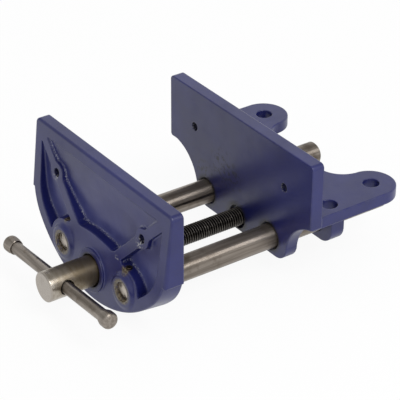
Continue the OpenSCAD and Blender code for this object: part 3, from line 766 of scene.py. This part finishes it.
# main screw: head, journal and thread
mainScrew = {
    "headRadius": 9.75, "headEdge": 1.0, "headClear": 0.1, "backEdge": 0.3, "crossHole": 4.6, "crossIn": 11.5,
    "crossEdge": 0.6, "barTilt": math.radians(3), "journalRadius": 7.0, "journalSunk": 1.6, "journalIn": 0.1,
    "grooveDepth": 0.7, "circlip": 1.2, "journalEnd": 1.0, "threadRadius": 6.0, "pitch": 1.75,
    "threadDepth": 1.07, "threadIn": 0.5, "runoutTurns": 2, "sharpAngle": 50, "rowsPerTurn": 12, "columns": 40,
    "margin": 1.5, "step": 0.42,
}
headStart = screwLow[1]
headEnd = frontFace - frontJaw["seatOut"] - mainScrew["headClear"]
barY = headStart + mainScrew["crossIn"]
barAxis = Vector((math.cos(mainScrew["barTilt"]), 0, math.sin(mainScrew["barTilt"])))


def headField(x, y, z):
    d = mainScrew
    z = z - screwZ
    radius = np.hypot(x, z) - d["headRadius"]
    head = meet(radius, headStart - y, d["headEdge"])
    head = meet(head, y - headEnd, d["backEdge"])
    across = np.hypot(y - barY, z * barAxis.x - x * barAxis.z)
    return cut(head, across - d["crossHole"], d["crossEdge"])


# browning of the head: where it fades in along it and upward, and its shares
headMarks = {
    "up": (-7, 7), "back": (5, 3), "backShare": 0.8, "top": (1, 8), "topShare": 0.55, "polish": (0.4, 1.6),
}


def makeHead():
    d, m = mainScrew, headMarks
    reach = d["headRadius"] + d["margin"]
    low = np.array([-reach, headStart - d["margin"], screwZ - reach])
    high = np.array([reach, headEnd + d["margin"], screwZ + reach])
    piece, points = castSkin("screwHead", headField, low, high, d["step"])
    along = points[:, 1] - headStart
    up = smoothStep(points[:, 2] - screwZ, *m["up"])
    fadeIn, beforeEnd = m["back"]
    browning = smoothStep(along, fadeIn, headEnd - headStart - beforeEnd) * m["backShare"]
    browning += m["topShare"] * up * smoothStep(along, *m["top"])
    addMark(piece, "browning", browning)
    addMark(piece, "polish", 1 - smoothStep(along, *m["polish"]))
    finishPiece(piece, "screw", headSteel, "screw_steel", "main_screw")


def makeJournal():
    d = mainScrew
    start, end = headEnd - d["journalIn"], frontFace - d["journalSunk"]
    clip = end - d["journalEnd"]
    r, inner = d["journalRadius"], d["journalRadius"] - d["grooveDepth"]
    profile = [(start, 0), (start, r), (clip - d["circlip"], r), (clip - d["circlip"], inner),
               (clip, inner), (clip, r), (end, r), (end, 0)]
    piece = turnProfile("screwJournal", profile, alongY(0, screwZ))
    finishPiece(piece, "screw", rodSteel, "screw_steel")


# the thread: a grid wrapped round the screw by nodes, its radius worked out from the turn and the place
def makeThreadTree():
    rootFlat, flankSlope, tip, weldReach = 0.06, 1.22, 1e-4, 1e-6
    tree = bpy.data.node_groups.new("screwThread", "GeometryNodeTree")
    face = tree.interface
    face.new_socket(name="Geometry", in_out="OUTPUT", socket_type="NodeSocketGeometry")
    sizes = {}
    for name, kind in (("Length", "Float"), ("Pitch", "Float"), ("Crest Radius", "Float"), ("Depth", "Float"),
                       ("Runout", "Float"), ("Rows", "Int"), ("Columns", "Int"), ("Finish", "Material")):
        sizes[name] = face.new_socket(name=name, in_out="INPUT", socket_type="NodeSocket" + kind).identifier
    nodes = tree.nodes
    source = nodes.new("NodeGroupInput")
    target = nodes.new("NodeGroupOutput")

    def wire(value, socket):
        feed(tree, value, socket)

    def calc(operation, a, b=0.0, c=0.0, clamp=False):
        node = nodes.new("ShaderNodeMath")
        node.operation = operation
        node.use_clamp = clamp
        for value, socket in zip((a, b, c), node.inputs):
            wire(value, socket)
        return node.outputs[0]

    def size(name):
        return source.outputs[name]

    grid = nodes.new("GeometryNodeMeshGrid")
    wire(size("Columns"), grid.inputs["Vertices X"])
    wire(size("Rows"), grid.inputs["Vertices Y"])
    spot = nodes.new("ShaderNodeSeparateXYZ")
    wire(nodes.new("GeometryNodeInputPosition").outputs[0], spot.inputs[0])
    turn = calc("ADD", spot.outputs["X"], 0.5)
    share = calc("ADD", spot.outputs["Y"], 0.5)
    along = calc("MULTIPLY", share, size("Length"))
    phase = calc("FRACT", calc("ADD", calc("DIVIDE", along, size("Pitch")), turn))
    ridge = calc("SUBTRACT", 1.0, calc("MULTIPLY", calc("ABSOLUTE", calc("SUBTRACT", phase, 0.5)), 2.0))
    height = calc("MULTIPLY", calc("SUBTRACT", ridge, rootFlat), flankSlope, clamp=True)
    startFade = calc("DIVIDE", along, size("Runout"), clamp=True)
    endFade = calc("DIVIDE", calc("SUBTRACT", size("Length"), along), size("Runout"), clamp=True)
    crest = calc("MULTIPLY", height, calc("MULTIPLY", startFade, endFade))
    root = calc("SUBTRACT", size("Crest Radius"), size("Depth"))
    radius = calc("MULTIPLY_ADD", crest, size("Depth"), root)
    inner = calc("MULTIPLY", calc("GREATER_THAN", share, tip), calc("LESS_THAN", share, 1 - tip))
    radius = calc("MULTIPLY", radius, inner)  # both ends close on the axis
    angle = calc("MULTIPLY", turn, 2 * math.pi)
    wrapped = nodes.new("ShaderNodeCombineXYZ")
    wire(calc("MULTIPLY", radius, calc("COSINE", angle)), wrapped.inputs["X"])
    wire(along, wrapped.inputs["Y"])
    wire(calc("MULTIPLY", radius, calc("SINE", angle)), wrapped.inputs["Z"])

    def through(kind, shape, **sockets):
        node = nodes.new(kind)
        for name, value in dict(sockets, Geometry=shape).items():
            wire(value, node.inputs[name])
        return node.outputs["Geometry"]

    shape = through("GeometryNodeStoreNamedAttribute", grid.outputs["Mesh"], Name="crest", Value=crest)
    shape = through("GeometryNodeSetPosition", shape, Position=wrapped.outputs[0])
    shape = through("GeometryNodeMergeByDistance", shape, Distance=weldReach)
    shape = through("GeometryNodeRealizeInstances", shape)
    shape = through("GeometryNodeSetMaterial", shape, Material=size("Finish"))
    wire(shape, target.inputs["Geometry"])
    return tree, sizes


def makeThread():
    d = mainScrew
    start = frontFace - d["journalSunk"] - d["threadIn"]
    length = screwHigh[1] - start
    tree, sizes = makeThreadTree()
    carrier = bpy.data.objects.new("threadCarrier", bpy.data.meshes.new("threadCarrier"))
    show(carrier)
    modifier = carrier.modifiers.new("thread", "NODES")
    modifier.node_group = tree
    values = {
        "Length": length * mm, "Pitch": d["pitch"] * mm, "Crest Radius": d["threadRadius"] * mm,
        "Depth": d["threadDepth"] * mm, "Runout": d["runoutTurns"] * d["pitch"] * mm,
        "Rows": round(length / d["pitch"] * d["rowsPerTurn"]), "Columns": d["columns"] + 1,
        "Finish": threadSteel,
    }
    for name, value in values.items():
        modifier[sizes[name]] = value
    view = bpy.context.evaluated_depsgraph_get()
    mesh = bpy.data.meshes.new_from_object(carrier.evaluated_get(view), depsgraph=view)
    carrier.modifiers.clear()
    bpy.data.objects.remove(carrier)
    mesh.transform(Matrix.Translation(Vector((0, start, screwZ)) * mm))
    shell = bmesh.new()
    shell.from_mesh(mesh)
    bmesh.ops.recalc_face_normals(shell, faces=shell.faces)
    shell.to_mesh(mesh)
    shell.free()
    mesh.shade_smooth()
    mesh.set_sharp_from_angle(angle=math.radians(d["sharpAngle"]))
    piece = bpy.data.objects.new("screwThread", mesh)
    show(piece)
    print("screwThread", len(mesh.polygons), "faces")
    finishPiece(piece, "screw", threadSteel, "screw_steel")


makeHead()
makeJournal()
makeThread()

# tommy bar, measured along itself from the screw's axis
# pairs are steps along the bar and in radius
tommyBar = {
    "radius": 4.0, "length": 119.0, "slide": 1.5, "knobRadius": 5.4, "knobLength": 9.0, "cone": 3.0,
    "round": 2.2, "roundSteps": 7, "drumStart": (0.5, 0.02), "drumEnd": 0.6, "coneEnd": (0.6, 0.35),
    "flare": [(-1.2, 0.0), (-0.4, 0.1), (0.4, 0.4)], "lip": 0.6, "lipEdge": (0.25, 0.3), "socket": 5.0,
    "socketClear": 0.12, "socketEdge": (0.3, 0.25), "knobConeEnd": (0.6, 0.3), "segments": 72,
}
barHalf = tommyBar["length"] / 2
knobStart = barHalf - tommyBar["knobLength"]
coneEnd = knobStart + tommyBar["cone"]


def barMatrix(turned):
    along = -barAxis if turned else barAxis
    side = Vector((0, 0, 1)).cross(along).normalized()
    up = along.cross(side)
    matrix = Matrix((side, along, up)).transposed().to_4x4()
    matrix.translation = Vector((0, barY, screwZ)) - barAxis * tommyBar["slide"]
    return matrix


def endProfile():
    d = tommyBar
    edge = barHalf - d["round"]
    along, less = d["drumStart"]
    drum = [(coneEnd + along, d["knobRadius"] - less), (edge - d["drumEnd"], d["knobRadius"])]
    rounded = arc(edge, d["knobRadius"] - d["round"], d["round"], 90, 0, d["roundSteps"])
    return drum + rounded + [(barHalf, 0)]


def makeBar():
    d = tommyBar
    tail = d["socket"] - barHalf
    before, less = d["coneEnd"]
    profile = [(tail, 0), (tail, d["radius"])]
    profile += [(knobStart + along, d["radius"] + more) for along, more in d["flare"]]
    profile += [(coneEnd - before, d["knobRadius"] - less)] + endProfile()
    piece = turnProfile("tommyBar", profile, barMatrix(False), d["segments"])
    finishPiece(piece, "tommy_bar", barSteel, "bar_steel", "tommy_bar")


def makeKnob():
    d = tommyBar
    deep, mouth, lip = barHalf - d["socket"], d["radius"] + d["socketClear"], d["radius"] + d["lip"]
    (edgeIn, edgeOut), (lipIn, lipOut), (before, less) = d["socketEdge"], d["lipEdge"], d["knobConeEnd"]
    profile = [(deep, 0), (deep, mouth), (knobStart + edgeIn, mouth), (knobStart, mouth + edgeOut),
               (knobStart, lip), (knobStart + lipIn, lip + lipOut), (coneEnd - before, d["knobRadius"] - less)]
    piece = turnProfile("barEndKnob", profile + endProfile(), barMatrix(True), d["segments"])
    finishPiece(piece, "tommy_bar", barSteel, "bar_steel", "bar_end_knob")


makeBar()
makeKnob()

# small turned pieces
mainNut = {"flange": 5.0, "bore": 6.15, "bodyEdge": 0.4, "flangeEdge": 0.3, "rimEdge": 0.8, "boreEdge": 0.9,
           "mouth": 0.8}
rodPin = {"ease": 0.2, "proud": 0.6, "segments": 40}


def makeNut():
    d = mainNut
    start, end, bore = nutLow[1], nutHigh[1], d["bore"]
    shoulder = end - d["flange"]
    profile = [(start, bore + d["mouth"]), (start, nutRadius - d["bodyEdge"]), (start + d["bodyEdge"], nutRadius),
               (shoulder, nutRadius), (shoulder, nutFlange - d["flangeEdge"]),
               (shoulder + d["flangeEdge"], nutFlange), (end - d["rimEdge"], nutFlange),
               (end, nutFlange - d["rimEdge"]), (end, bore + d["boreEdge"]), (end - d["boreEdge"], bore),
               (start + d["mouth"], bore)]
    piece = turnProfile("mainNut", profile, alongY(0, screwZ))
    finishPiece(piece, "bench_body", nutBronze, "nut_bronze", "main_nut")


def makePin(name, node, x):
    low, high = nodeBox(node)
    radius, ease = (high[1] - low[1]) / 2, rodPin["ease"]
    upright = Matrix.Translation((x, (low[1] + high[1]) / 2, 0)) @ Matrix.Rotation(math.radians(90), 4, "X")
    top = high[2] + rodPin["proud"]
    profile = [(low[2], 0), (low[2], radius - ease), (low[2] + ease, radius), (top - ease, radius),
               (top, radius - ease), (top, 0)]
    piece = turnProfile(name, profile, upright, rodPin["segments"])
    finishPiece(piece, "front_jaw", pinSteel, "pin_steel", node)


makeNut()
makePin("leftRodPin", "left_rod_pin", -rodX)
makePin("rightRodPin", "right_rod_pin", rodX)
for node, material in (("thrust_washer", rodSteel), ("screw_circlip", pinSteel), ("nut_lock_screw", pinSteel)):
    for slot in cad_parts[node].material_slots:
        slot.material = material
print("turned pieces made")


# floor, light and camera
def makeFloor():
    look = {"reach": 4.0, "tone": (0.86, 0.86, 0.86, 1), "roughness": 0.9, "glowShare": 0.92}
    reach, floorZ = look["reach"], cadLow.z
    mesh = bpy.data.meshes.new("floor")
    mesh.from_pydata([(-reach, -reach, floorZ), (reach, -reach, floorZ), (reach, reach, floorZ),
                      (-reach, reach, floorZ)], [], [(0, 1, 2, 3)])
    floor = bpy.data.objects.new("floor", mesh)
    show(floor)
    f = Finish("paleFloor", Roughness=look["roughness"], Base_Color=look["tone"], Specular_IOR_Level=0.0)
    seen = f.add("ShaderNodeLightPath")
    straight = f.math("MAXIMUM", seen.outputs["Is Camera Ray"], seen.outputs["Is Glossy Ray"])
    straight = f.math("MAXIMUM", straight, seen.outputs["Is Transmission Ray"])
    glow = f.add("ShaderNodeEmission", Color=(1, 1, 1, 1), Strength=1.0)
    both = f.add("ShaderNodeMixShader", Fac=f.times(straight, look["glowShare"]))
    f.wire(f.shader.outputs["BSDF"], both.inputs[1])
    f.wire(glow.outputs["Emission"], both.inputs[2])
    f.wire(both.outputs["Shader"], f.output.inputs["Surface"])
    mesh.materials.append(f.material)


def makeWorld():
    # each shade: the side it lies on, where it starts and ends, and how grey it gets
    look = {
        "left": ((-0.62, -0.52, 0.59), 0.45, 0.95, 0.55), "overhead": ((0.0, 0.45, 0.89), 0.72, 0.97, 0.58),
        "strength": 1.06,
    }
    world = bpy.data.worlds.new("studio")
    bpy.context.scene.world = world
    world.use_nodes = True
    nodes, links = world.node_tree.nodes, world.node_tree.links
    nodes.clear()
    place = nodes.new("ShaderNodeTexCoord")

    def shade(towards, start, end, grey):  # white that turns grey towards one side
        facing = nodes.new("ShaderNodeVectorMath")
        facing.operation = "DOT_PRODUCT"
        facing.inputs[1].default_value = towards
        links.new(place.outputs["Generated"], facing.inputs[0])
        ramp = nodes.new("ShaderNodeValToRGB")
        ramp.color_ramp.interpolation = "EASE"
        for stop, position, tone in zip(ramp.color_ramp.elements, (start, end), (1, grey)):
            stop.position = position
            stop.color = (tone, tone, tone, 1)
        links.new(facing.outputs["Value"], ramp.inputs["Fac"])
        return ramp.outputs["Color"]

    both = nodes.new("ShaderNodeMix")
    both.data_type = "RGBA"
    both.blend_type = "MULTIPLY"
    both.inputs[0].default_value = 1.0
    links.new(shade(*look["left"]), both.inputs[6])
    links.new(shade(*look["overhead"]), both.inputs[7])
    back = nodes.new("ShaderNodeBackground")
    back.inputs["Strength"].default_value = look["strength"]
    links.new(both.outputs[2], back.inputs["Color"])
    output = nodes.new("ShaderNodeOutputWorld")
    links.new(back.outputs["Background"], output.inputs["Surface"])


def aim(item, place, target, roll=0.0):
    item.location = place
    item.rotation_mode = "QUATERNION"
    facing = (Vector(target) - Vector(place)).to_track_quat("-Z", "Y")
    item.rotation_quaternion = facing @ Matrix.Rotation(roll, 3, "Z").to_quaternion()
    show(item)


def makeSoftbox():
    look = {"place": (0.98, 0.12, 1.12), "target": (0, -0.05, 0), "size": (0.6, 0.7), "power": 9}
    light = bpy.data.lights.new("keySoftbox", "AREA")
    light.shape = "RECTANGLE"
    light.size, light.size_y = look["size"]
    light.energy = look["power"]
    aim(bpy.data.objects.new("keySoftbox", light), look["place"], look["target"])


def makeCamera():
    view = {
        "place": (0.80633, -0.62513, 0.57943), "target": (0.00191, -0.05592, -0.00715),
        "roll": math.radians(0.255), "lens": 164.7, "sensor": 36, "shift": 0.0016,
    }
    data = bpy.data.cameras.new("camera")
    data.lens = view["lens"]
    data.sensor_width = view["sensor"]
    data.shift_x = view["shift"]
    camera = bpy.data.objects.new("camera", data)
    aim(camera, view["place"], view["target"], view["roll"])
    bpy.context.scene.camera = camera


makeFloor()
makeWorld()
makeSoftbox()
makeCamera()
bpy.context.scene.view_settings.view_transform = "Standard"

print("scene ready")
